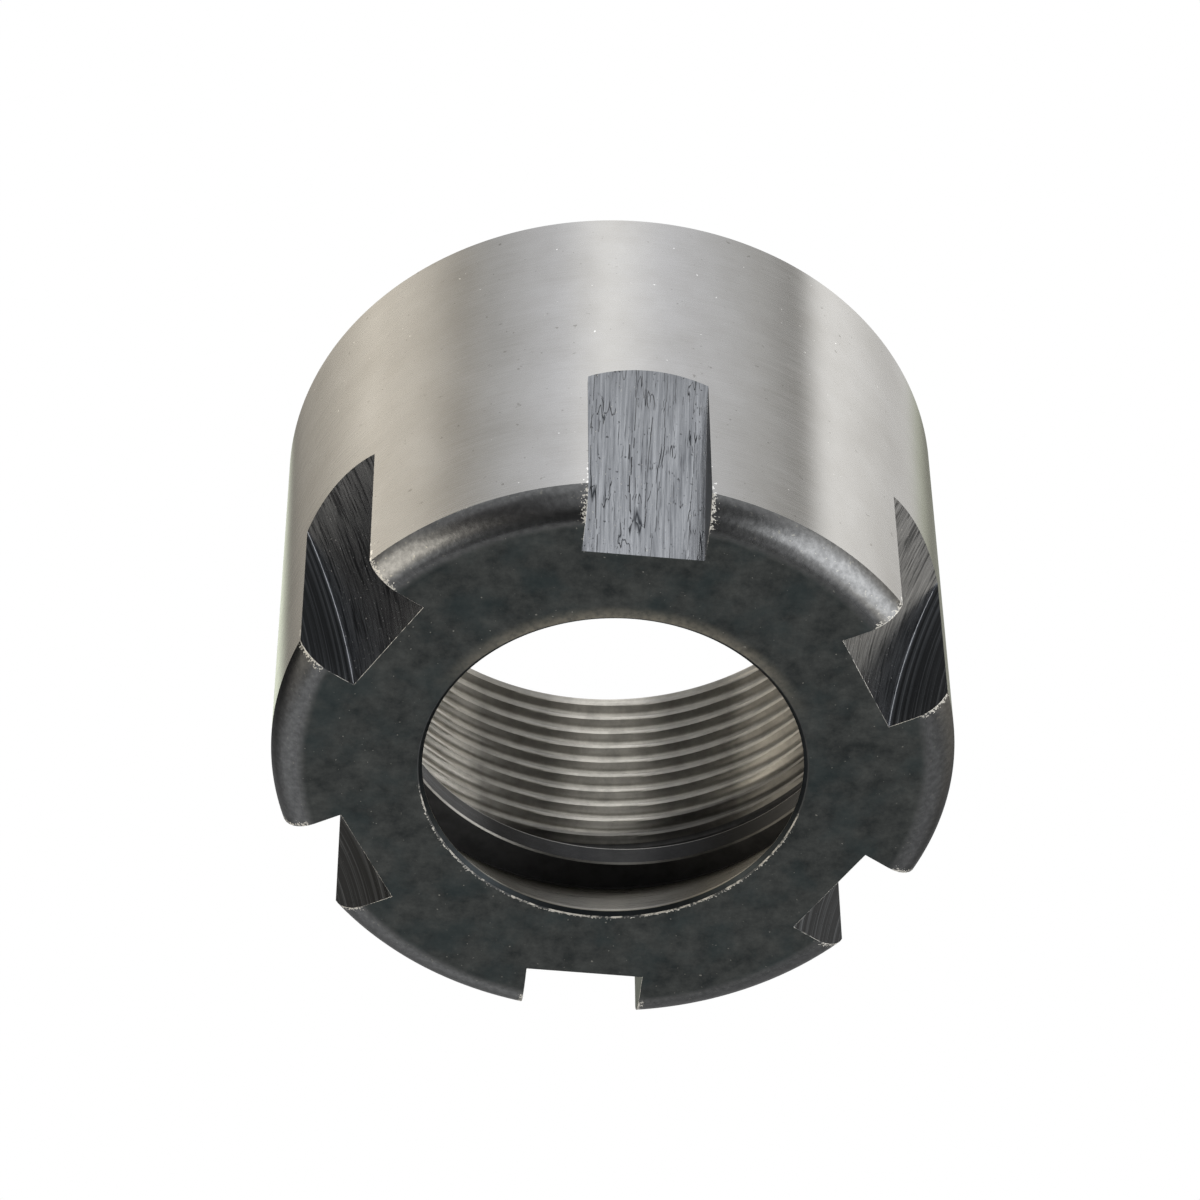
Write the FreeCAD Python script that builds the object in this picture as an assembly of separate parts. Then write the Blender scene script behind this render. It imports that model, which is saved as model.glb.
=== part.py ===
import FreeCAD, Part
import math
import os

# Collet nut turned from one steel bar. It stands on its thread end at z = 0 with the slotted face up.
# Lengths are in mm and angles in degrees. Depths count down from the slotted face.

# Collet that the nut pulls into its spindle
collet_d = 21.0
seat_half_angle = 31.5
seat_width = 2.7

# Mouth in the slotted face
mouth_bevel = 0.2
mouth_land = 0.05

# Groove that takes the collet's collar
groove_width = 0.6
groove_clearance = 0.13

# Off-centre lip that draws the collet out
lip_reach = 0.5
lip_offset = 0.7
lip_direction = 225.0
lip_front_bevel = 0.07
lip_land = 0.9
lip_lead_in = 1.0
lip_stock = 0.5

# Thread for the spindle nose, bored here to its minor diameter
nose_wall = 1.5
thread_pitch = 1.0
minor_share = 1.0825
entry_margin = 0.25
relief_step = 0.2
relief_length = 1.1

# Body
height = 19.5
body_wall = 2.0
foot_chamfer = 0.1

# Rounded rim of the slotted face, cut short where the wall was ground
rim_radius = 1.5
rim_drop = 1.0

# Wrench slots, milled by a disc whose axis lies above the slotted face
slot_count = 6
slot_width = 4.9
slot_ring = 3.35
cutter_r = 30.0
cutter_rise = 5.0
first_slot = -90.0

# Radii that follow from the values above
collet_r = collet_d / 2
mouth_r = collet_r - seat_width
lip_r = collet_r - lip_reach
groove_r = lip_r + lip_front_bevel + lip_offset + groove_clearance
blank_r = lip_r - lip_offset - lip_stock
thread_r = collet_r + nose_wall
minor_r = thread_r - minor_share * thread_pitch / 2
relief_r = thread_r + relief_step
entry_r = thread_r + entry_margin
outer_r = thread_r + body_wall
slot_floor_r = mouth_r + slot_ring

# Depths of the stations down the bore
seat_top = mouth_bevel + mouth_land
seat_end = seat_top + seat_width / math.tan(math.radians(seat_half_angle))
lip_front = seat_end + groove_width
lip_back = lip_front + lip_front_bevel + lip_land + lip_lead_in
relief_end = lip_back + relief_length
thread_top = relief_end + relief_r - minor_r


def at(radius, depth):
    return FreeCAD.Vector(radius, 0, height - depth)


def turned(edges):
    axis = FreeCAD.Vector(0, 0, 1)
    return Part.Face(Part.Wire(edges)).revolve(FreeCAD.Vector(), axis, 360)


def chain(points):
    return [Part.LineSegment(a, b).toShape() for a, b in zip(points, points[1:])]


# Blank with its bore, seat, groove, relief and thread bore, and a plain web where the lip will be
def turnedBody():
    startAngle = math.asin(1 - rim_drop / rim_radius)
    centre = at(outer_r - rim_radius * math.cos(startAngle), rim_radius)
    angles = [startAngle, (startAngle + math.pi / 2) / 2, math.pi / 2]
    rimPoints = [centre + FreeCAD.Vector(math.cos(a), 0, math.sin(a)) * rim_radius for a in angles]
    rim = Part.Arc(*rimPoints).toShape()
    bore = chain([
        rimPoints[2],
        at(mouth_r + mouth_bevel, 0),
        at(mouth_r, mouth_bevel),
        at(mouth_r, seat_top),
        at(collet_r, seat_end),
        at(groove_r, seat_end),
        at(groove_r, lip_front),
        at(blank_r, lip_front),
        at(blank_r, lip_back),
        at(relief_r, lip_back),
        at(relief_r, relief_end),
        at(minor_r, thread_top),
        at(minor_r, height - (entry_r - minor_r)),
        at(entry_r, height),
        at(outer_r - foot_chamfer, height),
        at(outer_r, height - foot_chamfer),
        rimPoints[0],
    ])
    return turned([rim] + bore)


# Cutter that opens the web off centre, with a bevel in front and a lead-in cone behind
def lipCutter():
    profile = chain([
        at(0, lip_front),
        at(lip_r + lip_front_bevel, lip_front),
        at(lip_r, lip_front + lip_front_bevel),
        at(lip_r, lip_back - lip_lead_in),
        at(lip_r + lip_lead_in, lip_back),
        at(0, lip_back),
        at(0, lip_front),
    ])
    cutter = turned(profile)
    angle = math.radians(lip_direction)
    cutter.translate(FreeCAD.Vector(math.cos(angle), math.sin(angle), 0) * lip_offset)
    return cutter


# Disc that mills one slot, whose floor meets the slotted face at slot_floor_r
def slotCutter(angle):
    reach = math.sqrt(cutter_r ** 2 - cutter_rise ** 2)
    corner = FreeCAD.Vector(slot_floor_r + reach, -slot_width / 2, height + cutter_rise)
    disc = Part.makeCylinder(cutter_r, slot_width, corner, FreeCAD.Vector(0, 1, 0))
    disc.rotate(FreeCAD.Vector(), FreeCAD.Vector(0, 0, 1), angle)
    return disc


def colletNut():
    slots = [slotCutter(first_slot + i * 360 / slot_count) for i in range(slot_count)]
    return turnedBody().cut([lipCutter()] + slots).Solids[0]


os.makedirs("parts", exist_ok=True)
nut = colletNut()
nut.exportStep("parts/collet_nut.step")
print("collet_nut", nut.ShapeType, "solids", len(nut.Solids), "valid", nut.isValid())
print("volume mm3", round(nut.Volume, 1), "box", nut.optimalBoundingBox())
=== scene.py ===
import math

import bmesh
import bpy
from mathutils import Matrix, Vector


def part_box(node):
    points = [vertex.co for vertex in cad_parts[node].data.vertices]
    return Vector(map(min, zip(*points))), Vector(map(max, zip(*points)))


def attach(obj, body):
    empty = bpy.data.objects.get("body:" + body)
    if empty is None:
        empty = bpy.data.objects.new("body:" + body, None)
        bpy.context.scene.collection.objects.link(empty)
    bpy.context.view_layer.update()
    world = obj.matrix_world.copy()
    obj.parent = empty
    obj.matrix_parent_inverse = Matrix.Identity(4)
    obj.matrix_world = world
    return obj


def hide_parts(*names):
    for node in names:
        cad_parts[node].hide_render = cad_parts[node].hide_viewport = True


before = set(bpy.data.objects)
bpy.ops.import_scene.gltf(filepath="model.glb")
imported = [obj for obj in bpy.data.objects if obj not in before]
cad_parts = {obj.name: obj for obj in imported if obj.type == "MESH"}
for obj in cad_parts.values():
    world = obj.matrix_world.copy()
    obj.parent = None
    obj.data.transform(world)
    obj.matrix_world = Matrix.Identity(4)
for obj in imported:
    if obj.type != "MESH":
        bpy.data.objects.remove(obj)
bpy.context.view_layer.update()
print("frame loaded")

mm = 0.001  # the sizes below are in millimetres, and Blender works in metres


# Small helpers

def toLinear(hexColour):  # sRGB hex to linear red, green, blue, alpha
    channels = [int(hexColour[i:i + 2], 16) / 255 for i in (0, 2, 4)]
    linear = [c / 12.92 if c <= 0.04045 else ((c + 0.055) / 1.055) ** 2.4 for c in channels]
    return (*linear, 1.0)


def lerp(a, b, t):
    return a + (b - a) * t


def direction(azimuth, elevation):  # degrees: azimuth 0 is -Y and grows towards +X
    a, e = math.radians(azimuth), math.radians(elevation)
    return Vector((math.sin(a) * math.cos(e), -math.cos(a) * math.cos(e), math.sin(e)))


# Sizes of the nut. The outer wall and the length come from the frame.

lowCorner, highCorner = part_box("collet_nut")
nut = {
    "outerRadius": round((highCorner.x - lowCorner.x) / 2 / mm, 3),
    "length": round((highCorner.z - lowCorner.z) / mm, 3),
    "footEdge": 0.1,
    "rimRadius": 1.5,          # rounding of the slotted end
    "rimDrop": 1.0,            # where the rounding meets the ground wall
    "mouthRadius": 7.8,
    "mouthBevel": 0.2,
    "mouthLand": 0.05,
    "mouthRub": 0.05,          # rubbed outer edge of the mouth's bevel
    "seatRadius": 10.5,
    "seatAngle": 31.5,
    "grooveRadius": 10.9,
    "grooveWidth": 0.6,
    "lipRadius": 10.0,
    "lipOffset": 0.7,
    "lipDirection": 225.0,
    "lipBevel": 0.07,
    "lipLand": 0.9,
    "lipRub": (0.06, 0.02),    # length and height of the rubbed end of the land
    "lipLeadIn": 1.0,
    "reliefRadius": 12.2,
    "reliefLength": 1.1,
    "threadPitch": 1.0,
    "threadMinor": 11.459,
    "threadDepth": 0.3,        # the real form is 0.54 deep, which came out too harsh
    "threadStart": 0.604,      # turns by which it is wound on, so that its crests lie as photographed
    "threadFrom": (0.9, 1.4),  # heights over which it begins, beyond its entry cone
    "crestShare": 0.22,        # share of a pitch that stays at full height on a crest
    "rootRound": 2.6,          # how softly a flank ends in the root
    "entryRadius": 12.25,
}
slot = {
    "count": 6,
    "first": -90.0,
    "halfWidth": 2.45,
    "floorRadius": 11.15,      # where the floor meets the slotted face
    "cutterRadius": 30.0,
    "cutterRise": 5.0,
}
grid = {
    "toothColumns": 32,
    "slotColumns": 20,
    "wallSteps": 12,           # across a slot's side wall, and across the face of a tooth
    "wallRows": 14,            # up a slot's side wall, below the rim
    "rimRows": 7,
    "lowerRows": 10,           # below the slots
    "ringRows": 12,            # across the face, inside the slots
    "seatRows": 12,
    "rowsPerPitch": 16,
    "weld": 0.0001,            # points nearer than this are one point
}


# Outer shape, worked out from the slot that it belongs to

cutterReach = math.sqrt(slot["cutterRadius"] ** 2 - slot["cutterRise"] ** 2)
cornerRadius = math.hypot(slot["floorRadius"], slot["halfWidth"])
rimStartAngle = math.asin(1 - nut["rimDrop"] / nut["rimRadius"])
rimCentre = nut["outerRadius"] - nut["rimRadius"] * math.cos(rimStartAngle)


def floorAt(depth):  # distance of a slot's floor from the axis
    drop = slot["cutterRise"] + depth
    return slot["floorRadius"] + cutterReach - math.sqrt(slot["cutterRadius"] ** 2 - drop ** 2)


def runOutAt(aside):  # depth at which a slot's floor leaves the outer wall
    wall = math.sqrt(nut["outerRadius"] ** 2 - aside ** 2)
    reach = slot["floorRadius"] + cutterReach - wall
    return math.sqrt(slot["cutterRadius"] ** 2 - reach ** 2) - slot["cutterRise"]


def rimAt(step):  # radius and depth on the rim's rounding, from the wall to the face
    angle = lerp(rimStartAngle, math.pi / 2, step / grid["rimRows"])
    radius = rimCentre + nut["rimRadius"] * math.cos(angle)
    return radius, nut["rimRadius"] * (1 - math.sin(angle))


def inSlotFrame(k, out, aside, depth):  # a point from the axes of slot k
    angle = math.radians(slot["first"] + k * 360 / slot["count"])
    x = out * math.cos(angle) - aside * math.sin(angle)
    y = out * math.sin(angle) + aside * math.cos(angle)
    return Vector((x, y, nut["length"] - depth))


def onTooth(k, radius, step, depth):  # a point on the tooth after slot k, by column
    edge = math.asin(slot["halfWidth"] / radius)
    angle = lerp(edge, 2 * math.pi / slot["count"] - edge, step / grid["toothColumns"])
    return inSlotFrame(k, radius * math.cos(angle), radius * math.sin(angle), depth)


def asideAt(step):  # distance of a slot's column from the slot's middle
    return lerp(-slot["halfWidth"], slot["halfWidth"], step / grid["slotColumns"])


def belowSlot(k, step, depth):  # a point on the outer wall in line with slot k, by column
    out = math.sqrt(nut["outerRadius"] ** 2 - asideAt(step) ** 2)
    return inSlotFrame(k, out, asideAt(step), depth)


def polar(point, radius, depth):  # the same angle as the point, at another radius and depth
    flat = point.xy.normalized() * radius
    return Vector((flat.x, flat.y, nut["length"] - depth))


# Stations down the bore, as depths below the slotted face

seatTop = nut["mouthBevel"] + nut["mouthLand"]
seatRise = (nut["seatRadius"] - nut["mouthRadius"]) / math.tan(math.radians(nut["seatAngle"]))
seatEnd = seatTop + seatRise
lipFront = seatEnd + nut["grooveWidth"]
lipBack = lipFront + nut["lipBevel"] + nut["lipLand"] + nut["lipLeadIn"]
reliefEnd = lipBack + nut["reliefLength"]


def lipRadiusAt(angle, radius):  # the off-centre circle as seen from the nut's axis
    turn = angle - math.radians(nut["lipDirection"])
    offset = nut["lipOffset"]
    return offset * math.cos(turn) + math.sqrt(radius ** 2 - (offset * math.sin(turn)) ** 2)


def threadRadiusAt(angle, depth):  # right-hand internal thread with flat crests and rounded roots
    height = nut["length"] - depth
    phase = (height / nut["threadPitch"] - angle / (2 * math.pi) + nut["threadStart"]) % 1.0
    aside = max(abs(phase - 0.5) * 2 - nut["crestShare"], 0) / (1 - nut["crestShare"])
    climb = 1 - (1 - aside) ** nut["rootRound"]
    start, full = nut["threadFrom"]
    begun = min(max((height - start) / (full - start), 0), 1)
    threaded = nut["threadMinor"] + nut["threadDepth"] * climb * begun
    entry = nut["entryRadius"] - height
    runOut = nut["reliefRadius"] - (depth - reliefEnd)
    return max(threaded, entry, runOut)


def boreRows():  # each row gives its depth, its radius at an angle and the surface that ends there
    rubbedRadius = nut["mouthRadius"] + nut["mouthBevel"] - nut["mouthRub"]
    rows = [(nut["mouthRub"], lambda a, d: rubbedRadius, "mouthEdge"),
            (nut["mouthBevel"], lambda a, d: nut["mouthRadius"], "mouth")]
    for i in range(grid["seatRows"] + 1):
        t = i / grid["seatRows"]
        radius = lerp(nut["mouthRadius"], nut["seatRadius"], t)
        rows.append((lerp(seatTop, seatEnd, t), lambda a, d, r=radius: r, "seat"))
    rows.append((seatEnd, lambda a, d: nut["grooveRadius"], "groove"))
    rows.append((lipFront, lambda a, d: nut["grooveRadius"], "groove"))
    landEnd = lipBack - nut["lipLeadIn"]
    rubLength, rubHeight = nut["lipRub"]
    lipRows = [
        (lipFront, nut["lipRadius"] + nut["lipBevel"], "groove"),
        (lipFront + nut["lipBevel"], nut["lipRadius"], "lipEdge"),
        (landEnd - rubLength, nut["lipRadius"], "lip"),
        (landEnd, nut["lipRadius"] + rubHeight, "lipEdge"),
        (lipBack, nut["lipRadius"] + nut["lipLeadIn"], "lip"),
    ]
    for depth, radius, surface in lipRows:
        rows.append((depth, lambda a, d, r=radius: lipRadiusAt(a, r), surface))
    rows.append((lipBack, lambda a, d: nut["reliefRadius"], "groove"))
    fullThread = reliefEnd + nut["reliefRadius"] - nut["threadMinor"]
    count = round((nut["length"] - reliefEnd) / nut["threadPitch"] * grid["rowsPerPitch"])
    for i in range(count + 1):
        depth = lerp(reliefEnd, nut["length"], i / count)
        rows.append((depth, threadRadiusAt, "thread" if depth > fullThread else "groove"))
    return rows


# The mesh is built from rows of points. Each patch keeps the surface it belongs to.

surfaces = ["groundWall", "oxide", "slot", "mouth", "seat", "groove", "lip", "lipEdge", "thread", "foot",
            "edge", "mouthEdge", "corner"]
teeth = range(grid["toothColumns"] + 1)
cuts = range(grid["slotColumns"] + 1)
rimSteps = [rimAt(i) for i in range(grid["rimRows"] + 1)]
slotEnd = runOutAt(slot["halfWidth"])  # depth where a slot's side walls end
wallDepths = [lerp(slotEnd, nut["rimDrop"], i / grid["wallRows"]) for i in range(grid["wallRows"])]
slotDepths = wallDepths + [depth for radius, depth in rimSteps]
footDepth = nut["length"] - nut["footEdge"]
lowerDepths = [lerp(footDepth, slotEnd, i / grid["lowerRows"]) for i in range(grid["lowerRows"] + 1)]
stations = boreRows()


def addPatch(mesh, rows, surface):  # one surface for the patch, or a list with one for each strip
    verts = [[mesh.verts.new(p * mm) for p in row] for row in rows]
    strips = surface if isinstance(surface, list) else [surface] * (len(rows) - 1)
    for upper, lower, strip in zip(verts, verts[1:], strips):
        for i in range(len(upper) - 1):
            quad = mesh.faces.new((upper[i], upper[i + 1], lower[i + 1], lower[i]))
            quad.material_index = surfaces.index(strip)
            quad.smooth = True


def addOuterWall(mesh, k):  # below the slots, then between them, and up over the rim
    radius = nut["outerRadius"]
    addPatch(mesh, [[onTooth(k, radius, i, d) for i in teeth] for d in lowerDepths], "groundWall")
    rows = []
    for depth in lowerDepths:
        t = (depth - footDepth) / (slotEnd - footDepth)
        rows.append([belowSlot(k, i, lerp(footDepth, runOutAt(asideAt(i)), t)) for i in cuts])
    addPatch(mesh, rows, "groundWall")
    upperDepths = slotDepths[:grid["wallRows"] + 1]
    addPatch(mesh, [[onTooth(k, radius, i, d) for i in teeth] for d in upperDepths], "groundWall")
    addPatch(mesh, [[onTooth(k, r, i, d) for i in teeth] for r, d in rimSteps], "oxide")


def addSlot(mesh, k):  # its side walls, then its floor
    steps = range(grid["wallSteps"] + 1)
    wallRadii = [nut["outerRadius"]] * grid["wallRows"] + [radius for radius, depth in rimSteps]
    wallRadii[grid["wallRows"]] = nut["outerRadius"]
    for side in (-slot["halfWidth"], slot["halfWidth"]):
        rows = []
        for radius, depth in zip(wallRadii, slotDepths):
            inner, outer = floorAt(depth), math.sqrt(radius ** 2 - side ** 2)
            row = [inSlotFrame(k, lerp(inner, outer, i / grid["wallSteps"]), side, depth) for i in steps]
            rows.append(row if side < 0 else row[::-1])
        addPatch(mesh, rows, "slot")
    rows = []
    for depth in slotDepths:
        share = depth / slotEnd
        depths = [share * runOutAt(asideAt(i)) for i in cuts]
        rows.append([inSlotFrame(k, floorAt(d), asideAt(i), d) for i, d in zip(cuts, depths)])
    addPatch(mesh, rows, "slot")


def addToothFace(mesh, k):  # the slotted face between two slots
    rimOut = math.sqrt(rimSteps[-1][0] ** 2 - slot["halfWidth"] ** 2)
    rows = []
    for i in range(grid["wallSteps"] + 1):
        out = lerp(rimOut, slot["floorRadius"], i / grid["wallSteps"])
        radius = math.hypot(out, slot["halfWidth"])
        rows.append([onTooth(k, radius, step, 0) for step in teeth])
    addPatch(mesh, rows, "oxide")


def addBore(mesh, k):  # the face's inner ring, the bore and the foot, by slot k and then by its tooth
    ringEdges = [[inSlotFrame(k, slot["floorRadius"], asideAt(i), 0) for i in cuts],
                 [onTooth(k, cornerRadius, i, 0) for i in teeth]]
    wallEdges = [[belowSlot(k, i, footDepth) for i in cuts],
                 [onTooth(k, nut["outerRadius"], i, footDepth) for i in teeth]]
    mouth = nut["mouthRadius"] + nut["mouthBevel"]
    for ringEdge, wallEdge in zip(ringEdges, wallEdges):
        rows = []
        for i in range(grid["ringRows"] + 1):
            t = i / grid["ringRows"]
            rows.append([polar(p, lerp(p.xy.length, mouth, t), 0) for p in ringEdge])
        addPatch(mesh, rows, "oxide")
        rows = [rows[-1]]
        for depth, radiusAt, surface in stations:
            rows.append([polar(p, radiusAt(math.atan2(p.y, p.x), depth), depth) for p in ringEdge])
        addPatch(mesh, rows, [surface for depth, radiusAt, surface in stations])
        footInner = rows[-1]
        footOuter = [polar(p, nut["outerRadius"] - nut["footEdge"], nut["length"]) for p in wallEdge]
        addPatch(mesh, [footInner, footOuter], "foot")
        addPatch(mesh, [footOuter, wallEdge], "foot")


def buildNut():
    mesh = bmesh.new()
    for k in range(slot["count"]):
        addOuterWall(mesh, k)
        addSlot(mesh, k)
        addToothFace(mesh, k)
        addBore(mesh, k)
    bmesh.ops.remove_doubles(mesh, verts=mesh.verts, dist=grid["weld"] * mm)
    bmesh.ops.recalc_face_normals(mesh, faces=mesh.faces)
    return mesh


# Fine bevels on the milled edges, where the oxide has worn through to bare steel, with a painted highlight
# on them

wear = {
    "width": 0.095,
    "sharpest": 50.0,          # milled edges that turn more than this many degrees are worn
    "crease": 35.0,            # edges that turn more than this many degrees look sharp
    "cornerBand": 0.1,         # a bevel this near to a slot's floor, and this far down, is its corner
    "wallBand": 0.06,          # a bevel this near to the outer wall keeps its oxide
}


def wornEdges(mesh):
    limit = math.radians(wear["sharpest"])
    slotIndex = surfaces.index("slot")
    chosen = []
    for edge in mesh.edges:
        if edge.calc_face_angle(0) < limit:
            continue
        if any(face.material_index == slotIndex for face in edge.link_faces):
            chosen.append(edge)
    return chosen


def finishMesh(mesh):
    bevelled = bmesh.ops.bevel(mesh, geom=wornEdges(mesh), offset=wear["width"] * mm, offset_type="OFFSET",
                               segments=1, affect="EDGES", clamp_overlap=True,
                               material=surfaces.index("edge"))
    turn = 2 * math.pi / slot["count"]
    for face in bevelled["faces"]:
        p = face.calc_center_median() / mm
        angle = math.atan2(p.y, p.x) - math.radians(slot["first"])
        out = p.xy.length * math.cos(angle - round(angle / turn) * turn)
        depth = nut["length"] - p.z
        if depth > wear["cornerBand"] and out < floorAt(depth) + wear["cornerBand"]:
            face.material_index = surfaces.index("corner")
        elif p.xy.length > nut["outerRadius"] - wear["wallBand"]:
            face.material_index = surfaces.index("slot")
    bore = [surfaces.index(name) for name in ("thread", "groove")]
    for edge in mesh.edges:
        kinds = {face.material_index for face in edge.link_faces}
        together = len(kinds) == 1 or all(kind in bore for kind in kinds)
        edge.smooth = together and edge.calc_face_angle(0) < math.radians(wear["crease"])


mesh = buildNut()
openEdges = [edge for edge in mesh.edges if len(edge.link_faces) != 2]
print("nut mesh", len(mesh.verts), "points", len(mesh.faces), "faces", len(openEdges), "open edges")
finishMesh(mesh)
nutMesh = bpy.data.meshes.new("steelColletNut")
mesh.to_mesh(nutMesh)
mesh.free()
nutPiece = bpy.data.objects.new("turned_nut", nutMesh)
bpy.context.scene.collection.objects.link(nutPiece)
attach(nutPiece, "root")
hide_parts("collet_nut")
nutMesh.calc_loop_triangles()
print("nut piece", len(nutMesh.loop_triangles), "triangles")


# Where each point lies on its slot's cutter, for the tool marks, and how far it is from a slot, for the
# crumbs of steel

def markPlaces(mesh):
    cutterPlaces, fromSlot = [], []
    turn = 2 * math.pi / slot["count"]
    for vert in mesh.vertices:
        p = vert.co / mm
        angle = math.atan2(p.y, p.x) - math.radians(slot["first"])
        angle -= round(angle / turn) * turn
        radius = p.xy.length
        out = radius * math.cos(angle) - slot["floorRadius"] - cutterReach
        drop = slot["cutterRise"] + nut["length"] - p.z
        aside = radius * math.sin(angle)
        cutterPlaces += [math.hypot(out, drop), math.atan2(drop, -out) * slot["cutterRadius"], aside]
        fromSlot.append(max(abs(aside) - slot["halfWidth"], 0.0))
    mesh.attributes.new("cutterPlace", "FLOAT_VECTOR", "POINT").data.foreach_set("vector", cutterPlaces)
    mesh.attributes.new("fromSlot", "FLOAT", "POINT").data.foreach_set("value", fromSlot)


markPlaces(nutMesh)
print("tool marks placed")


# Materials. A range says where a noise starts to show and where it shows in full, so a higher one shows it
# in fewer places. A cover says how much it then hides of the colour below.

midNoise = (0.3, 0.7)  # most of a noise lies between these
quarterTurn = 0.25     # lays the stretch of a highlight across the tool's lines


def newMaterial(name):
    material = bpy.data.materials.new(name)
    material.use_nodes = True
    tree = material.node_tree
    tree.nodes.clear()
    return material, tree


# Adds a node with its settings, its input values and its links. A node given as a link stands for its first
# output, and a pair given as From or To is the two ends of a range.
def add(tree, kind, settings=None, **links):
    node = tree.nodes.new("ShaderNode" + kind)
    for key, value in (settings or {}).items():
        setattr(node, key, value)
    for key in ("From", "To"):
        if key in links:
            links[key + "_Min"], links[key + "_Max"] = links.pop(key)
    for key, value in links.items():
        name = key.replace("_", " ")
        numbered = name.startswith("in") and name[2:].isdigit()
        socket = node.inputs[int(name[2:]) if numbered else name]
        if isinstance(value, bpy.types.Node):
            value = value.outputs[0]
        if isinstance(value, bpy.types.NodeSocket):
            tree.links.new(value, socket)
        else:
            socket.default_value = value
    return node


def perMm(size):  # texture scale, in metres, for marks of this size in millimetres
    return 1 / (size * mm)


def metres(sizes):
    return [size * mm for size in sizes]


# Bare steel, cylindrically ground: fine lines run round the wall, so highlights stretch along the axis.
ground = {
    "steel": "c3c2c0",
    "dull": "b0aeaa",
    "nick": "6e6a62",
    "crumb": "fbfaf6",
    "metallic": 1.0,
    "roughness": (0.245, 0.295),
    "stretch": 0.8,            # how far grinding draws a highlight out
    "lineSize": 0.09,          # real grinding lines are about a fifth of this, too fine for the picture
    "lineLength": 2.2,
    "lineHeight": 0.0003,
    "lineShare": 0.6,          # of the lines in the dull patches, beside the clouds
    "cloudSize": 3.0,
    "patchRange": (0.5, 1.1),
    "nickSize": 0.28,
    "nickRange": (0.70, 0.76),
    "nickCover": 0.45,
    "crumbSize": 0.16,
    "crumbRange": (0.87, 0.89),
    "crumbReach": 0.35,        # from a slot's side wall
    "crumbDepths": (3.0, 1.0),  # below the face, from no crumbs to all
    "crumbPush": 0.42,         # what nearness to a slot adds to the noise
}


def groundSteel():
    material, tree = newMaterial("cylindricallyGroundSteel")
    here = add(tree, "TexCoord").outputs["Object"]
    axes = add(tree, "SeparateXYZ", Vector=here)
    along, across = perMm(ground["lineLength"]), perMm(ground["lineSize"])
    drawn = add(tree, "Mapping", Vector=here, Scale=(along, along, across))
    lines = add(tree, "TexNoise", Vector=drawn, Scale=1.0, Detail=4.0, Roughness=0.65)
    clouds = add(tree, "TexNoise", Vector=here, Scale=perMm(ground["cloudSize"]), Detail=5.0, Roughness=0.6)
    patches = add(tree, "Math", {"operation": "MULTIPLY_ADD"}, in0=lines, in1=ground["lineShare"],
                  in2=clouds)
    patch = add(tree, "MapRange", Value=patches, From=ground["patchRange"])
    colour = add(tree, "MixRGB", Fac=patch, Color1=toLinear(ground["dull"]),
                 Color2=toLinear(ground["steel"]))
    # small dull nicks
    nicks = add(tree, "TexNoise", Vector=here, Scale=perMm(ground["nickSize"]), Detail=2.0)
    nick = add(tree, "MapRange", Value=nicks, From=ground["nickRange"], To=(0.0, ground["nickCover"]))
    colour = add(tree, "MixRGB", Fac=nick, Color1=colour, Color2=toLinear(ground["nick"]))
    # crumbs of steel along the upper part of the slots
    fromSlot = add(tree, "Attribute", {"attribute_name": "fromSlot"}).outputs["Fac"]
    beside = add(tree, "MapRange", Value=fromSlot, From=(ground["crumbReach"], 0.0),
                 To=(0.0, ground["crumbPush"]))
    heights = [nut["length"] - depth for depth in ground["crumbDepths"]]
    upper = add(tree, "MapRange", Value=axes.outputs["Z"], From=metres(heights))
    push = add(tree, "Math", {"operation": "MULTIPLY"}, in0=beside, in1=upper)
    grains = add(tree, "TexNoise", Vector=here, Scale=perMm(ground["crumbSize"]), Detail=0.0)
    crumbs = add(tree, "Math", {"operation": "ADD"}, in0=grains, in1=push)
    crumb = add(tree, "MapRange", Value=crumbs, From=ground["crumbRange"])
    colour = add(tree, "MixRGB", Fac=crumb, Color1=colour, Color2=toLinear(ground["crumb"]))
    rough = add(tree, "MapRange", Value=lines, From=midNoise, To=ground["roughness"])
    bump = add(tree, "Bump", Strength=1.0, Distance=ground["lineHeight"] * mm, Height=lines)
    around = add(tree, "Tangent", {"direction_type": "RADIAL", "axis": "Z"})
    shader = add(tree, "BsdfPrincipled", Base_Color=colour, Metallic=ground["metallic"],
                 Roughness=rough, Anisotropic=ground["stretch"], Anisotropic_Rotation=quarterTurn,
                 Normal=bump, Tangent=around)
    add(tree, "OutputMaterial", Surface=shader)
    return material


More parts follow.
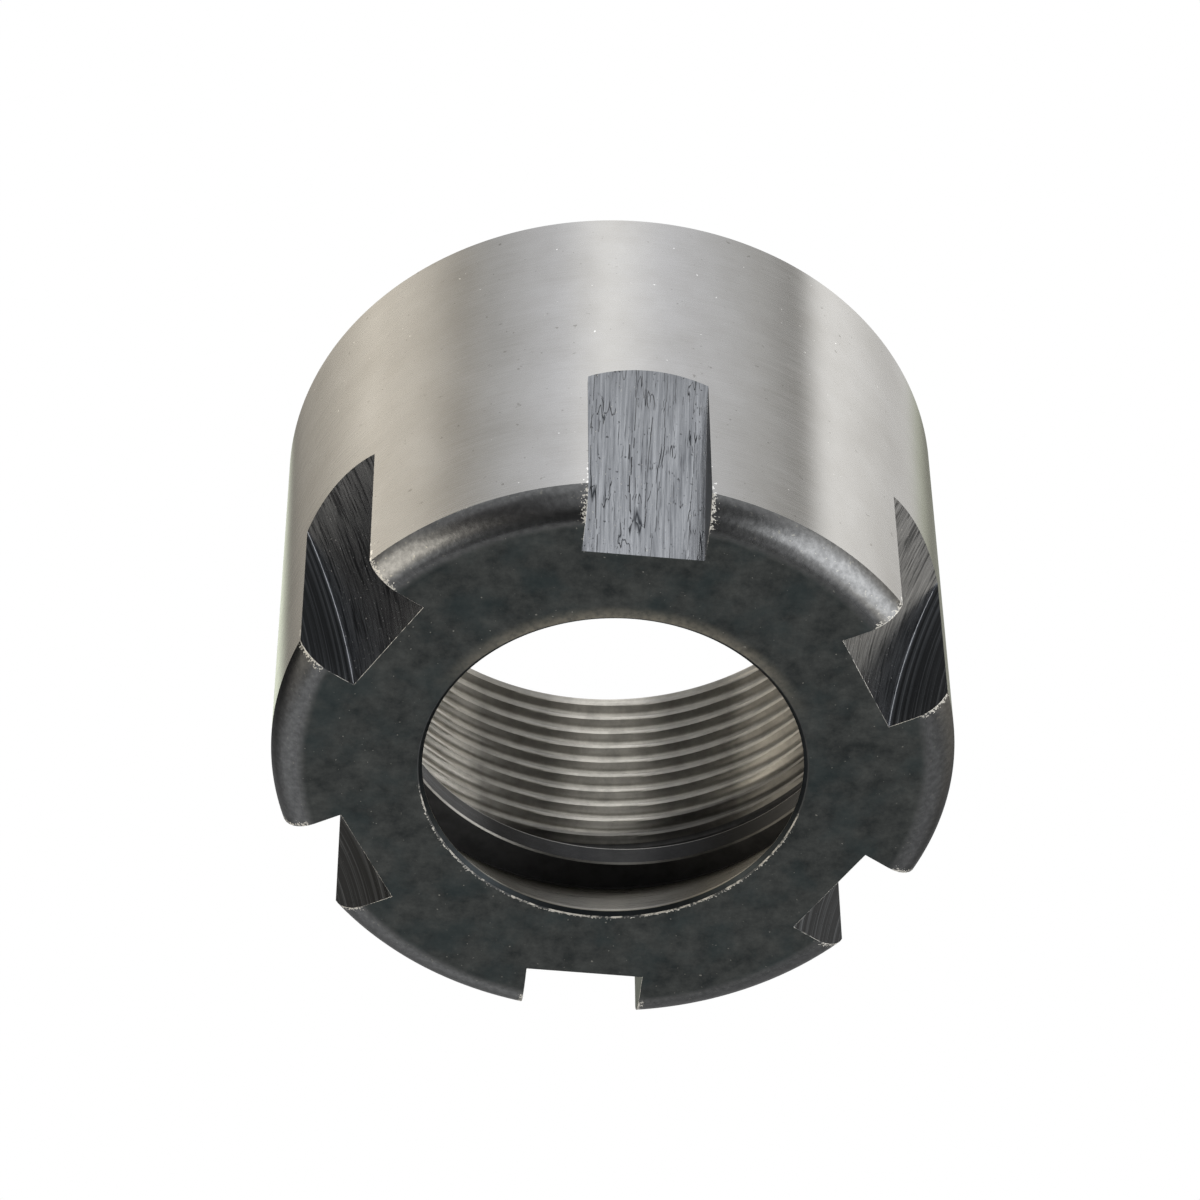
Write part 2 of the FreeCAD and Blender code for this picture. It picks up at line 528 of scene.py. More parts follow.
# Black oxide on turned steel: blue-green black and mottled on the face, burnished to a sheen on the rim.
# A pair gives a value on the face and one on the rim.
oxide = {
    "faceDark": "1e2425",
    "faceLight": "505352",
    "faceBlue": "253437",
    "rim": "6b6c6d",
    "rimWorn": "848586",
    "haze": "8b867a",
    "speck": "96958f",
    "burr": "dedcd5",
    "metallic": (0.35, 1.0),
    "roughness": (0.5, 0.25),
    "burrMetallic": 0.3,
    "burrRoughness": 0.5,
    "rimRadii": (12.5, 13.0),  # over which the face turns into the rim
    "mottleSize": 1.0,
    "mottleRange": (0.33, 0.72),
    "stainSize": 2.2,
    "stainRange": (0.48, 0.66),
    "stainCover": 0.55,
    "pebbleSize": 0.24,
    "pebbleHeight": 0.0046,
    "pebbleShare": (0.15, 1.0),
    "pebbleRange": (0.36, 0.74),
    "hazeReach": (0.9, 0.1),   # out from the mouth, from no haze to the most
    "hazeSide": (-3.5, -6.5),  # Y, from no haze to the most
    "hazeRange": (0.3, 0.6),
    "hazeLeast": 0.4,          # of the haze that the patches leave
    "hazeCover": 0.9,
    "speckSize": 0.16,
    "speckRange": (0.75, 0.79),
    "speckCover": 0.7,
    "rimSpecks": 0.05,         # what the rim adds to the noise
    "burrSize": 0.09,
    "burrRange": (0.83, 0.87),
    "burrReach": 0.5,          # from a slot's side wall
    "burrPush": 0.42,          # what nearness to a slot adds to the noise
    "mouthBurrReach": 0.36,    # out from the mouth
    "mouthBurrSide": (0.0, 3.0),
    "mouthBurrPush": 0.33,
}


def blackOxide():
    material, tree = newMaterial("blackOxideOnTurnedSteel")
    here = add(tree, "TexCoord").outputs["Object"]
    axes = add(tree, "SeparateXYZ", Vector=here)
    flat = add(tree, "CombineXYZ", X=axes.outputs["X"], Y=axes.outputs["Y"])
    radius = add(tree, "VectorMath", {"operation": "LENGTH"}, in0=flat).outputs["Value"]
    onRim = add(tree, "MapRange", {"interpolation_type": "SMOOTHSTEP"}, Value=radius,
                From=metres(oxide["rimRadii"]))
    mottles = add(tree, "TexNoise", Vector=here, Scale=perMm(oxide["mottleSize"]), Detail=8.0,
                  Roughness=0.72)
    mottle = add(tree, "MapRange", Value=mottles, From=oxide["mottleRange"])
    face = add(tree, "MixRGB", Fac=mottle, Color1=toLinear(oxide["faceDark"]),
               Color2=toLinear(oxide["faceLight"]))
    # blue-green temper stains
    stains = add(tree, "TexNoise", Vector=here, Scale=perMm(oxide["stainSize"]), Detail=4.0, Roughness=0.6)
    stain = add(tree, "MapRange", Value=stains, From=oxide["stainRange"], To=(0.0, oxide["stainCover"]))
    face = add(tree, "MixRGB", Fac=stain, Color1=face, Color2=toLinear(oxide["faceBlue"]))
    # fine pebbling, whose tops are rubbed on the rim
    pebbles = add(tree, "TexNoise", Vector=here, Scale=perMm(oxide["pebbleSize"]), Detail=3.0,
                  Roughness=0.6)
    worn = add(tree, "MapRange", Value=pebbles, From=oxide["pebbleRange"])
    rim = add(tree, "MixRGB", Fac=worn, Color1=toLinear(oxide["rim"]), Color2=toLinear(oxide["rimWorn"]))
    colour = add(tree, "MixRGB", Fac=onRim, Color1=face, Color2=rim)
    # rubbed brown round the mouth
    ends = [nut["mouthRadius"] + reach for reach in oxide["hazeReach"]]
    haze = add(tree, "MapRange", {"interpolation_type": "SMOOTHSTEP"}, Value=radius, From=metres(ends),
               To=(0.0, oxide["hazeCover"]))
    patches = add(tree, "MapRange", Value=pebbles, From=oxide["hazeRange"], To=(oxide["hazeLeast"], 1.0))
    haze = add(tree, "Math", {"operation": "MULTIPLY"}, in0=haze, in1=patches)
    hazeSide = add(tree, "MapRange", Value=axes.outputs["Y"], From=metres(oxide["hazeSide"]))
    haze = add(tree, "Math", {"operation": "MULTIPLY"}, in0=haze, in1=hazeSide)
    colour = add(tree, "MixRGB", Fac=haze, Color1=colour, Color2=toLinear(oxide["haze"]))
    # pale specks where the oxide is chipped
    specks = add(tree, "TexNoise", Vector=here, Scale=perMm(oxide["speckSize"]), Detail=1.0)
    specks = add(tree, "Math", {"operation": "MULTIPLY_ADD"}, in0=onRim, in1=oxide["rimSpecks"],
                 in2=specks)
    speck = add(tree, "MapRange", Value=specks, From=oxide["speckRange"], To=(0.0, oxide["speckCover"]))
    colour = add(tree, "MixRGB", Fac=speck, Color1=colour, Color2=toLinear(oxide["speck"]))
    # crumbs of bare steel that the cutter left on the rim beside each slot, and a few round the mouth
    fromSlot = add(tree, "Attribute", {"attribute_name": "fromSlot"}).outputs["Fac"]
    beside = add(tree, "MapRange", Value=fromSlot, From=(oxide["burrReach"], 0.0),
                 To=(0.0, oxide["burrPush"]))
    rimPush = add(tree, "Math", {"operation": "MULTIPLY"}, in0=beside, in1=onRim)
    ends = [nut["mouthRadius"] + reach for reach in (oxide["mouthBurrReach"], nut["mouthBevel"])]
    nearMouth = add(tree, "MapRange", Value=radius, From=metres(ends), To=(0.0, oxide["mouthBurrPush"]))
    mouthSide = add(tree, "MapRange", Value=axes.outputs["Y"], From=metres(oxide["mouthBurrSide"]))
    mouthPush = add(tree, "Math", {"operation": "MULTIPLY"}, in0=nearMouth, in1=mouthSide)
    push = add(tree, "Math", {"operation": "MAXIMUM"}, in0=rimPush, in1=mouthPush)
    grains = add(tree, "TexNoise", Vector=here, Scale=perMm(oxide["burrSize"]), Detail=2.0)
    burrs = add(tree, "Math", {"operation": "ADD"}, in0=push, in1=grains)
    burr = add(tree, "MapRange", Value=burrs, From=oxide["burrRange"])
    colour = add(tree, "MixRGB", Fac=burr, Color1=colour, Color2=toLinear(oxide["burr"]))
    rough = add(tree, "MapRange", Value=onRim, To=oxide["roughness"])
    rough = add(tree, "MapRange", Value=burr, To=(rough, oxide["burrRoughness"]))
    metal = add(tree, "MapRange", Value=onRim, To=oxide["metallic"])
    metal = add(tree, "MapRange", Value=burr, To=(metal, oxide["burrMetallic"]))
    pebbled = add(tree, "MapRange", Value=onRim, To=oxide["pebbleShare"])
    bump = add(tree, "Bump", Strength=pebbled, Distance=oxide["pebbleHeight"] * mm, Height=pebbles)
    shader = add(tree, "BsdfPrincipled", Base_Color=colour, Metallic=metal, Roughness=rough, Normal=bump)
    add(tree, "OutputMaterial", Surface=shader)
    return material


# Black oxide on milled steel: torn lines that follow the cutter, along the floor and in arcs on the walls.
# A pair gives a value on the floor and one on the side walls.
milled = {
    "dark": "6e7176",
    "light": "b3b6bb",
    "streak": "3a3d42",
    "wall": "1d1f21",
    "arc": "74777a",
    "crack": "2f3338",
    "chip": "d4d3cd",
    "metallic": (0.95, 0.5),
    "roughness": (0.25, 0.5),
    "chipMetallic": 0.1,
    "wallStart": (0.02, 0.1),  # in from the cutter's edge, where a side wall begins
    "bluntSide": (-9.8, -10.4),  # Y, from the other slots to the one that the blunt cutter milled
    "lineSize": 0.11,          # across the cutter's path
    "lineLength": 3.5,         # along it
    "lineHeight": 0.006,
    "streakSize": 0.1,
    "streakLength": 3.0,
    "streakRange": (0.6, 0.68),
    "streakCover": 0.8,
    "streakPush": 0.09,        # what the other slots add to the noise
    "arcSize": 0.15,
    "arcLength": 50.0,
    "arcRange": (0.5, 0.72),
    "cracks": [(0.5, 4.0, 2.0, 0.009), (0.7, 16.0, 1.0, 0.009)],  # across, along, raggedness, width
    "crackPatches": 0.9,       # for each millimetre
    "crackRange": (0.51, 0.56),
    "crackDepth": 0.015,
    "stepLength": 1.1,
    "stepWidth": 0.7,
    "stepAside": 0.22,
    "pitSize": 0.15,
    "pitRange": (0.69, 0.73),
    "pitCover": 0.8,
    "chipSize": 0.1,
    "chipLength": 0.2,
    "chipRange": (0.71, 0.78),
    "chipCover": 0.55,
}


def milledOxide():
    material, tree = newMaterial("blackOxideOnMilledSteel")
    spot = add(tree, "Attribute", {"attribute_name": "cutterPlace"}).outputs["Vector"]
    axes = add(tree, "SeparateXYZ", Vector=spot)
    starts = [slot["cutterRadius"] - inward for inward in milled["wallStart"]]
    onWall = add(tree, "MapRange", Value=axes.outputs["X"], From=starts)
    onFloor = add(tree, "Math", {"operation": "SUBTRACT"}, in0=1.0, in1=onWall)
    across, along = 1 / milled["lineSize"], 1 / milled["lineLength"]
    drawn = add(tree, "Mapping", Vector=spot, Scale=(across, along, across))
    lines = add(tree, "TexNoise", Vector=drawn, Scale=1.0, Detail=5.0, Roughness=0.7)
    shade = add(tree, "MapRange", Value=lines, From=midNoise)
    colour = add(tree, "MixRGB", Fac=shade, Color1=toLinear(milled["dark"]),
                 Color2=toLinear(milled["light"]))
    # a blunt cutter cracked the slot on the -Y side, and the others are grooved deeper
    body = add(tree, "SeparateXYZ", Vector=add(tree, "TexCoord").outputs["Object"])
    blunt = add(tree, "MapRange", Value=body.outputs["Y"], From=metres(milled["bluntSide"]))
    push = add(tree, "MapRange", Value=blunt, To=(milled["streakPush"], 0.0))
    torn = add(tree, "Mapping", Vector=spot,
               Scale=(0.0, 1 / milled["streakLength"], 1 / milled["streakSize"]))
    streaks = add(tree, "TexNoise", Vector=torn, Scale=1.0, Detail=3.0, Roughness=0.7)
    streaks = add(tree, "Math", {"operation": "ADD"}, in0=streaks, in1=push)
    streak = add(tree, "MapRange", Value=streaks, From=milled["streakRange"],
                 To=(0.0, milled["streakCover"]))
    colour = add(tree, "MixRGB", Fac=streak, Color1=colour, Color2=toLinear(milled["streak"]))
    # the side walls were rubbed by the cutter's flanks, and are darker
    rings = add(tree, "Mapping", Vector=spot, Scale=(1 / milled["arcSize"], 1 / milled["arcLength"], 0.0))
    arcs = add(tree, "TexNoise", Vector=rings, Scale=1.0, Detail=3.0, Roughness=0.7)
    arc = add(tree, "MapRange", Value=arcs, From=milled["arcRange"])
    wall = add(tree, "MixRGB", Fac=arc, Color1=toLinear(milled["wall"]), Color2=toLinear(milled["arc"]))
    colour = add(tree, "MixRGB", Fac=onWall, Color1=colour, Color2=wall)
    # cracks where the steel tore: thin lines that run with the cutter and step aside here and there
    blocks = add(tree, "Mapping", Vector=spot,
                 Scale=(0.0, 1 / milled["stepLength"], 1 / milled["stepWidth"]))
    block = add(tree, "TexVoronoi", Vector=blocks, Scale=1.0)
    stepped = add(tree, "VectorMath", {"operation": "MULTIPLY_ADD"}, in0=block.outputs["Color"],
                  in1=(0.0, 0.0, milled["stepAside"]), in2=spot)
    split = []
    for wide, long, raggedness, width in milled["cracks"]:
        drift = add(tree, "Mapping", Vector=stepped, Scale=(0.0, 1 / long, 1 / wide))
        veins = add(tree, "TexNoise", Vector=drift, Scale=1.0, Detail=raggedness, Roughness=0.6)
        fromVein = add(tree, "Math", {"operation": "SUBTRACT"}, in0=veins, in1=0.5)
        gap = add(tree, "Math", {"operation": "ABSOLUTE"}, in0=fromVein)
        split.append(add(tree, "MapRange", Value=gap, From=(width, 0.0)).outputs[0])
    places = add(tree, "TexNoise", Vector=spot, Scale=milled["crackPatches"], Detail=2.0)
    kept = add(tree, "MapRange", Value=places, From=milled["crackRange"])
    crack = add(tree, "Math", {"operation": "MULTIPLY"}, in0=split[0], in1=kept)
    crack = add(tree, "Math", {"operation": "MAXIMUM"}, in0=crack, in1=split[1])
    crack = add(tree, "Math", {"operation": "MULTIPLY"}, in0=crack, in1=blunt)
    crack = add(tree, "Math", {"operation": "MULTIPLY"}, in0=crack, in1=onFloor)
    pits = add(tree, "TexNoise", Vector=spot, Scale=1 / milled["pitSize"], Detail=2.0)
    pit = add(tree, "MapRange", Value=pits, From=milled["pitRange"], To=(0.0, milled["pitCover"]))
    broken = add(tree, "Math", {"operation": "MAXIMUM"}, in0=crack, in1=pit)
    colour = add(tree, "MixRGB", Fac=broken, Color1=colour, Color2=toLinear(milled["crack"]))
    # pale chips of bare steel on the floor
    across, along = 1 / milled["chipSize"], 1 / milled["chipLength"]
    flakes = add(tree, "Mapping", Vector=spot, Scale=(across, along, across))
    chips = add(tree, "TexNoise", Vector=flakes, Scale=1.0, Detail=1.0)
    chip = add(tree, "MapRange", Value=chips, From=milled["chipRange"], To=(0.0, milled["chipCover"]))
    chip = add(tree, "Math", {"operation": "MULTIPLY"}, in0=chip, in1=onFloor)
    colour = add(tree, "MixRGB", Fac=chip, Color1=colour, Color2=toLinear(milled["chip"]))
    metal = add(tree, "MapRange", Value=onWall, To=milled["metallic"])
    metal = add(tree, "MapRange", Value=chip, To=(metal, milled["chipMetallic"]))
    rough = add(tree, "MapRange", Value=onWall, To=milled["roughness"])
    fine = add(tree, "Bump", Strength=1.0, Distance=milled["lineHeight"] * mm, Height=lines)
    bump = add(tree, "Bump", {"invert": True}, Strength=1.0, Distance=milled["crackDepth"] * mm,
               Height=broken, Normal=fine)
    shader = add(tree, "BsdfPrincipled", Base_Color=colour, Metallic=metal, Roughness=rough, Normal=bump)
    add(tree, "OutputMaterial", Surface=shader)
    return material


# Turned steel in the bore: rings that run round it, bare on the thread and the seat, and dark under oxide.
# Each finish has its colour, roughness and metallic.
turned = {
    "thread": ("dad6cc", 0.36, 0.6),    # bare, and the film on it takes some of the metal's gloss
    "seat": ("777369", 0.3, 1.0),       # finely turned, with a soft brown-grey sheen
    "lip": ("343434", 0.3, 1.0),        # oxidised, nearly black with a clear highlight
    "lipEdge": ("8b8984", 0.35, 1.0),   # rubbed by collets to a thin grey line
    "mouth": ("323638", 0.45, 1.0),     # oxidised, a dark line round the mouth
    "groove": ("5a5a5a", 0.6, 1.0),     # oxidised and rough, dark without a highlight
    "foot": ("8c8a86", 0.35, 1.0),      # faced in the lathe, bare and grey
    "corner": ("e8ebf0", 0.38, 1.0),    # a bright line by a slot's floor: bare steel cut by the corners of the teeth, with a painted highlight on its small radius
    "spread": 0.05,            # of the roughness, either way
    "stretch": 0.6,            # how far turning draws a highlight out
    "lineSize": 0.1,           # real turned rings are finer, and would blur at this distance
    "lineLength": 4.0,
    "lineHeight": 0.0006,
    "facingRing": 0.25,        # the real feed is about 0.1 a turn, too fine to show from below
    "facingHeight": 0.006,
    "stainSize": 0.9,
    "stainRange": (0.35, 0.6),
    "stainShade": (0.72, 1.0),
    "litStripAt": (-1.03, 11.41),   # X and Y of the strip of thread left bright, a painted highlight down the bore
    "litStripReach": (0.9, 3.0),  # from there, over which the painted shade begins
    "film": 0.5,
    "shadeLiftReach": (4.4, 6.6),   # from there, over which the painted shade ends again
    # how much brightness the far sides get back from the painted shade
    "bareAndLit": 0.85,
    "reliefShadeLevel": (9.5, 10.0),   # heights over which the painted shade before the relief begins
    "reliefShadeSlope": (-0.14, 0.0, 1.0),
    "reliefShade": 0.33,
    "lipShadeSide": (-1.5, -6.5),  # X, from a lip without painted shade to one with it
    "lipShade": 0.25,
}


def threadPaintedShade(tree, here, stain):  # painted shade each side of a strip left bright, and more painted shade on the last turns
    flat = add(tree, "VectorMath", {"operation": "MULTIPLY"}, in0=here, in1=(1.0, 1.0, 0.0))
    litStrip = (*metres(turned["litStripAt"]), 0.0)
    away = add(tree, "VectorMath", {"operation": "DISTANCE"}, in0=flat, in1=litStrip).outputs["Value"]
    film = add(tree, "MapRange", {"interpolation_type": "SMOOTHSTEP"}, Value=away,
               From=metres(turned["litStripReach"]), To=(1.0, turned["film"]))
    bareAndLit = add(tree, "MapRange", {"interpolation_type": "SMOOTHSTEP"}, Value=away,
               From=metres(turned["shadeLiftReach"]), To=(0.0, turned["bareAndLit"]))
    film = add(tree, "Math", {"operation": "MAXIMUM"}, in0=film, in1=bareAndLit)
    # the painted shade before the relief reaches higher on the -X side
    level = add(tree, "VectorMath", {"operation": "DOT_PRODUCT"}, in0=here, in1=turned["reliefShadeSlope"])
    reliefShade = add(tree, "MapRange", Value=level.outputs["Value"], From=metres(turned["reliefShadeLevel"]),
              To=(1.0, turned["reliefShade"]))
    film = add(tree, "Math", {"operation": "MULTIPLY"}, in0=film, in1=reliefShade)
    return add(tree, "Math", {"operation": "MULTIPLY"}, in0=stain, in1=film)


def turnedSteel(name, surface):
    colour, roughness, metallic = turned[surface]
    material, tree = newMaterial(name)
    here = add(tree, "TexCoord").outputs["Object"]
    along, across = perMm(turned["lineLength"]), perMm(turned["lineSize"])
    rings, height = here, turned["lineHeight"]
    if surface == "foot":  # a facing cut leaves its rings side by side on the flat
        axes = add(tree, "SeparateXYZ", Vector=here)
        flat = add(tree, "CombineXYZ", X=axes.outputs["X"], Y=axes.outputs["Y"])
        radius = add(tree, "VectorMath", {"operation": "LENGTH"}, in0=flat).outputs["Value"]
        rings = add(tree, "CombineXYZ", X=axes.outputs["X"], Y=axes.outputs["Y"], Z=radius).outputs[0]
        across, height = perMm(turned["facingRing"]), turned["facingHeight"]
    drawn = add(tree, "Mapping", Vector=rings, Scale=(along, along, across))
    lines = add(tree, "TexNoise", Vector=drawn, Scale=1.0, Detail=3.0, Roughness=0.6)
    stains = add(tree, "TexNoise", Vector=here, Scale=perMm(turned["stainSize"]), Detail=5.0,
                 Roughness=0.65)
    stain = add(tree, "MapRange", Value=stains, From=turned["stainRange"], To=turned["stainShade"])
    # on the thread, painted shade and a painted highlight strip are mixed into the stains
    if surface == "thread":
        stain = threadPaintedShade(tree, here, stain)
    # painted shade on the lip and its edge towards -X, mixed into the stains
    if surface in ("lip", "lipEdge"):
        axes = add(tree, "SeparateXYZ", Vector=here)
        lipShaded = add(tree, "MapRange", Value=axes.outputs["X"], From=metres(turned["lipShadeSide"]),
                    To=(1.0, turned["lipShade"]))
        stain = add(tree, "Math", {"operation": "MULTIPLY"}, in0=stain, in1=lipShaded)
    tone = add(tree, "VectorMath", {"operation": "SCALE"}, in0=toLinear(colour)[:3], Scale=stain)
    ends = (roughness - turned["spread"], roughness + turned["spread"])
    rough = add(tree, "MapRange", Value=lines, From=midNoise, To=ends)
    bump = add(tree, "Bump", Strength=1.0, Distance=height * mm, Height=lines)
    around = add(tree, "Tangent", {"direction_type": "RADIAL", "axis": "Z"})
    shader = add(tree, "BsdfPrincipled", Base_Color=tone, Metallic=metallic,
                 Roughness=rough, Anisotropic=turned["stretch"], Anisotropic_Rotation=quarterTurn,
                 Normal=bump, Tangent=around)
    add(tree, "OutputMaterial", Surface=shader)
    return material


# Black oxide rubbed through at an edge: bare bright steel in short lengths, with dull dark ones between, and
# a painted highlight on the bright lengths.
# The oxide is whole where Y is within the second value of the first.
wornAndHighlit = {
    "slotEdge": {"steel": "f6f3ec", "range": (0.4, 0.5), "whole": (-10.9, 0.5)},
    "mouthEdge": {"steel": "cdcac2", "range": (0.46, 0.56), "whole": (-6.0, 7.5)},
    "oxide": "3a3d3f",
    "length": 0.6,
    "metallic": 0.05,          # low, so that so thin an edge stays bright from every side, as a painted highlight
    "roughness": 0.5,
}


def wornAndHighlitSteel(name, edge):
    material, tree = newMaterial(name)
    here = add(tree, "TexCoord").outputs["Object"]
    lengths = add(tree, "TexNoise", Vector=here, Scale=perMm(wornAndHighlit["length"]), Detail=4.0, Roughness=0.7)
    bareAndLit = add(tree, "MapRange", Value=lengths, From=edge["range"])
    axes = add(tree, "SeparateXYZ", Vector=here)
    middle, reach = metres(edge["whole"])
    whole = add(tree, "Math", {"operation": "COMPARE"}, in0=axes.outputs["Y"], in1=middle, in2=reach)
    bareAndLit = add(tree, "Math", {"operation": "SUBTRACT", "use_clamp": True}, in0=bareAndLit, in1=whole)
    colour = add(tree, "MixRGB", Fac=bareAndLit, Color1=toLinear(wornAndHighlit["oxide"]),
                 Color2=toLinear(edge["steel"]))
    shader = add(tree, "BsdfPrincipled", Base_Color=colour, Metallic=wornAndHighlit["metallic"],
                 Roughness=wornAndHighlit["roughness"])
    add(tree, "OutputMaterial", Surface=shader)
    return material


finishes = {
    "groundWall": groundSteel(),
    "oxide": blackOxide(),
    "slot": milledOxide(),
    "mouth": turnedSteel("blackOxideOnTurnedBevel", "mouth"),
    "seat": turnedSteel("finelyTurnedSteel", "seat"),
    "groove": turnedSteel("blackOxideInTurnedGroove", "groove"),
    "lip": turnedSteel("blackOxideOnBoredLip", "lip"),
    "lipEdge": turnedSteel("rubbedSteelOnBoredLip", "lipEdge"),
    "thread": turnedSteel("singlePointThreadedSteel", "thread"),
    "foot": turnedSteel("facedSteel", "foot"),
    "edge": wornAndHighlitSteel("wornAndHighlitMilledEdge", wornAndHighlit["slotEdge"]),
    "mouthEdge": wornAndHighlitSteel("wornAndHighlitTurnedEdge", wornAndHighlit["mouthEdge"]),
    "corner": turnedSteel("milledCornerHighlight", "corner"),
}
for name in surfaces:
    nutMesh.materials.append(finishes[name])
print("materials made")


# Camera, floor and light

view = {
    "azimuth": 6.541,
    "elevation": 51.906,
    "roll": 179.426,           # the nut stands on its thread end, and is photographed the other way up
    "targetHeight": 8.163,
    "aside": -0.463,
    "distance": 220.248,
    "lens": 155.236,
    "sensor": 36,
    "nearest": 10,
}


def makeCamera():
    back = direction(view["azimuth"], view["elevation"])
    right = direction(view["azimuth"] + 90, 0)
    up = back.cross(right)
    c, s = math.cos(math.radians(view["roll"])), math.sin(math.radians(view["roll"]))
    xAxis = right * c + up * s
    yAxis = up * c - right * s
    place = Vector((0, 0, view["targetHeight"])) + xAxis * view["aside"] + back * view["distance"]
    data = bpy.data.cameras.new("camera")
    data.lens = view["lens"]
    data.sensor_width = view["sensor"]
    data.clip_start = view["nearest"] * mm
    camera = bpy.data.objects.new("camera", data)
    turn = Matrix((xAxis, yAxis, back)).transposed().to_4x4()
    camera.matrix_world = Matrix.Translation(place * mm) @ turn
    bpy.context.scene.collection.objects.link(camera)
    bpy.context.scene.camera = camera


# White paper, lit as evenly as a light box, so that only the camera sees it.
paper = {
    "colour": "ffffff",
    "half": 2000.0,            # of its width
    "height": 0.01,            # a hair above the thread end, which would flicker in the same plane
}


def makeFloor():
    half, height = metres((paper["half"], paper["height"]))
    corners = [(-half, -half, height), (half, -half, height), (half, half, height), (-half, half, height)]
    floorMesh = bpy.data.meshes.new("floor")
    floorMesh.from_pydata(corners, [], [(0, 1, 2, 3)])
    floor = bpy.data.objects.new("floor", floorMesh)
    bpy.context.scene.collection.objects.link(floor)
    material, tree = newMaterial("whitePaper")
    glow = add(tree, "Emission", Color=toLinear(paper["colour"]), Strength=1.0)
    add(tree, "OutputMaterial", Surface=glow)
    floorMesh.materials.append(material)
    floor.visible_glossy = False
    floor.visible_diffuse = False
    floor.visible_shadow = False


# Soft light all round, as a white tent with grey and white cards inside gives it. Each stop is an angle, a
# brightness and a tint. Angles are in degrees from the camera's side, and grow to the picture's left.
tent = {
    "plain": "ffffff",
    "warm": "fff7e9",
    "green": "f8ffe9",
    "cool": "f6f8ff",
    "brightest": 3.0,
    # cards below the nut, by the angle of the wall that shows them. Most of these brightness values, and the
    # choice of tints, were not set by hand: a program worked them out from the photo. They are still to be
    # hung anew by eye. The other three lists were set one by one.
    "low": [(-86, 0.46, "green"), (-75, 0.22, "green"), (-70, 0.66, "green"), (-64, 1.01, "plain"),
            (-58, 0.95, "plain"), (-52, 1.16, "plain"), (-40, 1.6, "plain"), (-35, 0.27, "plain"),
            (-27, 0.62, "plain"), (-10, 1.16, "cool"), (0, 1.58, "plain"), (8, 1.05, "cool"),
            (20, 0.59, "plain"), (26, 0.54, "warm"), (34, 1.17, "warm"), (45, 1.47, "warm"),
            (58, 0.88, "warm"), (69, 0.58, "warm"), (74, 0.35, "warm"), (82, 1.8, "green")],
    # level with the nut, and a little below
    "level": [(-170, 0.25, "plain"), (-145, 0.12, "plain"), (-120, 0.42, "warm"), (-80, 0.62, "warm"),
              (-40, 0.9, "plain"), (0, 1.1, "plain"), (40, 0.8, "plain"), (74, 0.02, "plain"),
              (112, 0.02, "plain"), (140, 0.22, "plain"), (170, 0.25, "plain")],
    # a little above it
    "raised": [(-170, 0.3, "plain"), (-140, 0.42, "plain"), (-126, 0.3, "plain"), (-118, 0.15, "plain"),
               (-104, 2.0, "warm"), (-96, 2.7, "plain"), (-60, 2.9, "plain"), (-51, 0.5, "plain"),
               (-43, 0.1, "plain"), (-22, 0.12, "plain"), (0, 0.8, "plain"), (22, 0.1, "plain"),
               (38, 0.08, "plain"), (51, 0.15, "plain"), (62, 3.0, "warm"), (82, 3.0, "warm"),
               (96, 0.8, "warm"), (106, 0.4, "warm"), (116, 0.35, "plain"), (128, 0.7, "plain"),
               (145, 0.5, "plain"), (170, 0.6, "plain")],
    # overhead
    "high": [(-140, 0.3, "plain"), (-107, 1.2, "plain"), (-90, 0.6, "plain"), (-72, 0.2, "plain"),
             (-60, 0.04, "plain"), (-18, 0.06, "plain"), (0, 0.45, "plain"), (18, 0.08, "plain"),
             (50, 0.03, "plain"), (70, 0.22, "plain"), (94, 1.2, "plain"), (114, 0.3, "plain"),
             (140, 0.72, "plain")],
    "top": 0.04,
    "lowToLevel": (-0.76, -0.66),   # heights where one gives way to the next
    "levelToRaised": (-0.3, 0.4),
    "raisedToHigh": (0.7, 0.9),
    "highToTop": (0.88, 0.98),
}


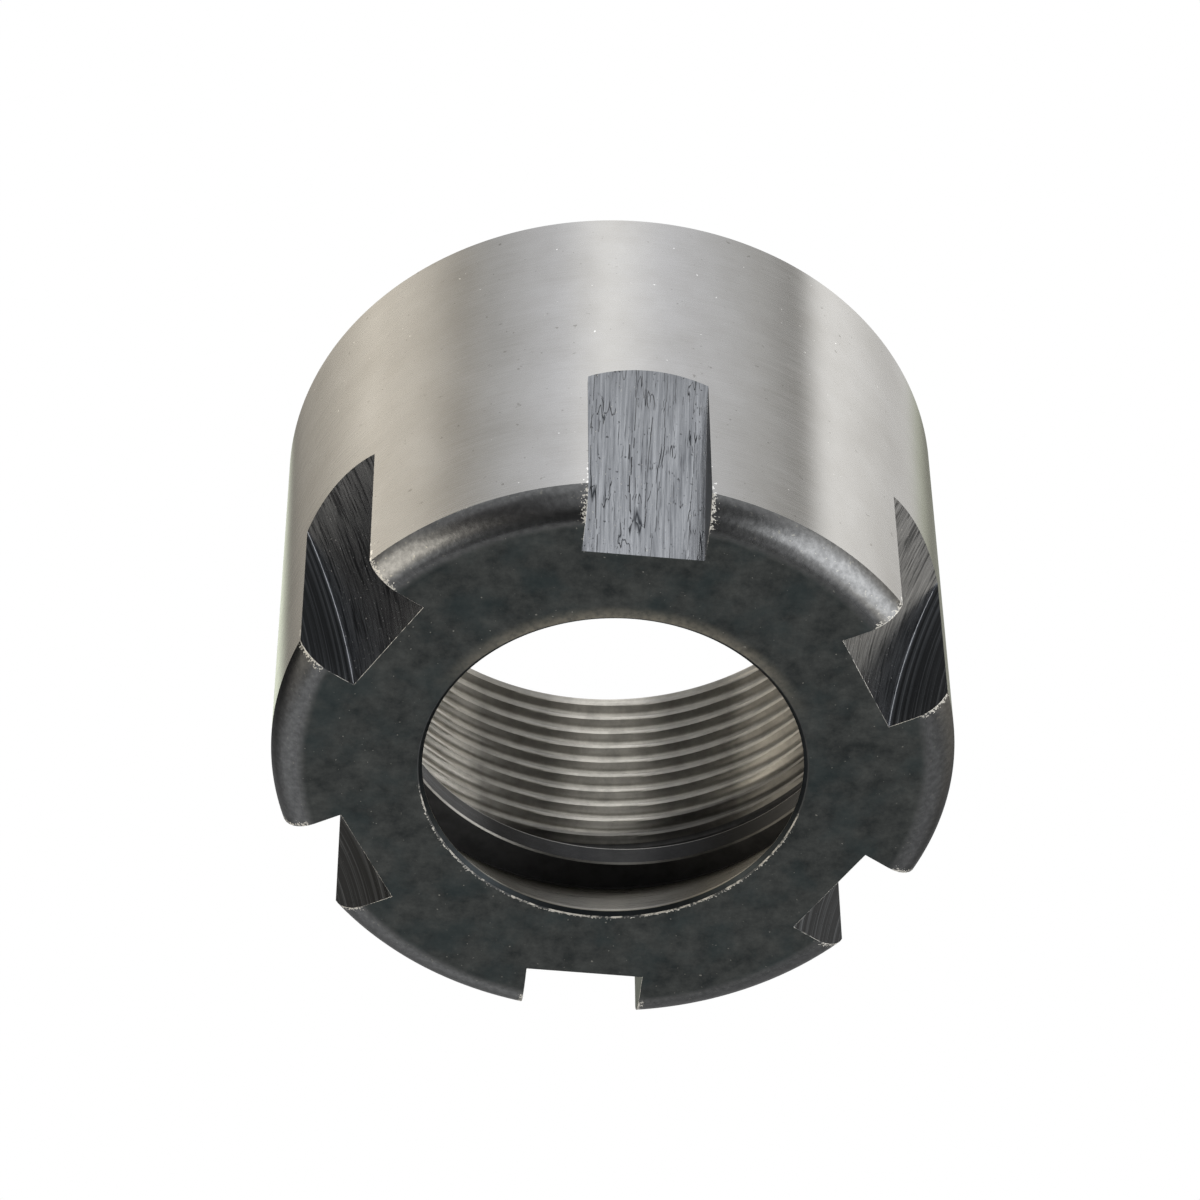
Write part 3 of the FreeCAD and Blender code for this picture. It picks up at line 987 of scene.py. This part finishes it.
def makeTent():
    world = bpy.data.worlds.new("tent")
    bpy.context.scene.world = world
    world.use_nodes = True
    tree = world.node_tree
    tree.nodes.clear()
    place = add(tree, "TexCoord").outputs["Generated"]
    faced = add(tree, "VectorRotate", {"rotation_type": "Z_AXIS"}, Vector=place,
                Angle=math.radians(-view["azimuth"]))
    axes = add(tree, "SeparateXYZ", Vector=faced)
    front = add(tree, "Math", {"operation": "MULTIPLY"}, in0=axes.outputs["Y"], in1=-1.0).outputs[0]
    # a ground wall spreads what it reflects along the axis, and this shift keeps a card on one line of it
    shift = math.cos(math.radians(view["elevation"]))
    shifted = add(tree, "Math", {"operation": "ADD"}, in0=front, in1=shift).outputs[0]

    def cards(stops, ahead):
        angle = add(tree, "Math", {"operation": "ARCTAN2"}, in0=axes.outputs["X"], in1=ahead)
        part = add(tree, "MapRange", Value=angle, From=(-math.pi, math.pi))
        ramp = add(tree, "ValToRGB", Fac=part)
        points = ramp.color_ramp.elements
        while len(points) < len(stops):
            points.new(0.5)
        for point, (degrees, level, tint) in zip(points, stops):
            point.position = (degrees + 180) / 360
            point.color = [c * level / tent["brightest"] for c in toLinear(tent[tint])[:3]] + [1]
        return ramp.outputs["Color"]

    def blend(heights, lower, upper):
        t = add(tree, "MapRange", {"interpolation_type": "SMOOTHSTEP"}, Value=axes.outputs["Z"],
                From=heights)
        return add(tree, "MixRGB", Fac=t, Color1=lower, Color2=upper).outputs[0]

    glow = blend(tent["lowToLevel"], cards(tent["low"], shifted), cards(tent["level"], front))
    glow = blend(tent["levelToRaised"], glow, cards(tent["raised"], front))
    glow = blend(tent["raisedToHigh"], glow, cards(tent["high"], front))
    glow = blend(tent["highToTop"], glow, [tent["top"] / tent["brightest"]] * 3 + [1])
    light = add(tree, "Background", Color=glow, Strength=tent["brightest"])
    seen = add(tree, "Background", Color=toLinear(tent["plain"]), Strength=1.0)
    ray = add(tree, "LightPath")
    final = add(tree, "MixShader", in0=ray.outputs["Is Camera Ray"], in1=light, in2=seen)
    add(tree, "OutputWorld", Surface=final)


makeCamera()
makeFloor()
makeTent()
bpy.context.scene.view_settings.view_transform = "Standard"
print("camera, floor and light set")
